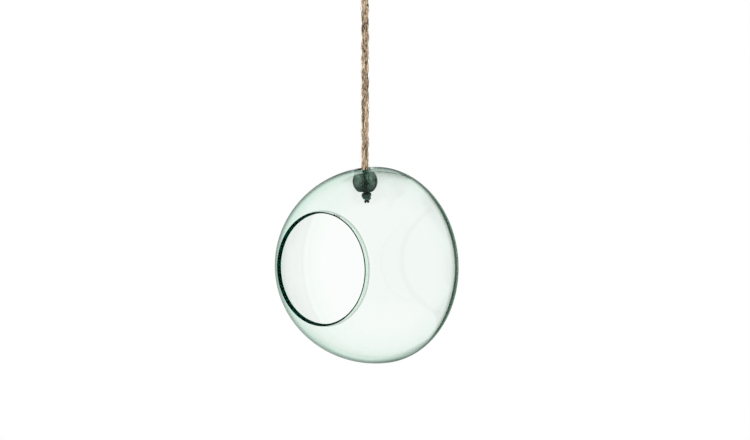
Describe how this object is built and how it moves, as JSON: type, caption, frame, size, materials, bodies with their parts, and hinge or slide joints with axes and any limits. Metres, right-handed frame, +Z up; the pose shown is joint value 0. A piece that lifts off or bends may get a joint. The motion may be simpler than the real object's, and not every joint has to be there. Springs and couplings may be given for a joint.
{
  "type": "hanging propagation vase",
  "caption": "Round flat-backed bowl of pale green glass on its side, hung through its top from a jute rope by a bead and knot, to hold water and cuttings.",
  "frame": {"origin": "inside top of the rope's hanging loop, where a hook bears", "axes": "+Z up along the rope, -Y out of the bowl's mouth, +Y out of its flat back"},
  "size_m": [0.2, 0.1016, 0.4635],
  "materials": {
    "green_glass": "clear, pale green, flame polished",
    "stained_wood": "dark green stain, satin",
    "jute": "natural laid jute, hairy",
    "dark_strand": "dark waxed strand"
  },
  "bodies": {
    "rope": {"rope": "jute", "eye_splice": "jute", "hanging_loop": "jute", "tie_strand": "dark_strand", "stopper_knot": "dark_strand"},
    "bead": {"bead": "stained_wood"},
    "bowl": {"glass_bowl": "green_glass"}
  },
  "joints": [
    {"name": "bead_turn", "type": "hinge", "parent": "rope", "child": "bead", "pos_m": [0, 0, -0.2708], "axis": [0, 0, 1], "continuous": true},
    {"name": "bowl_tilt", "type": "hinge", "parent": "bead", "child": "bowl", "pos_m": [0, 0, -0.2708], "axis": [1, 0, 0], "range_deg": [-10, 10]}
  ]
}
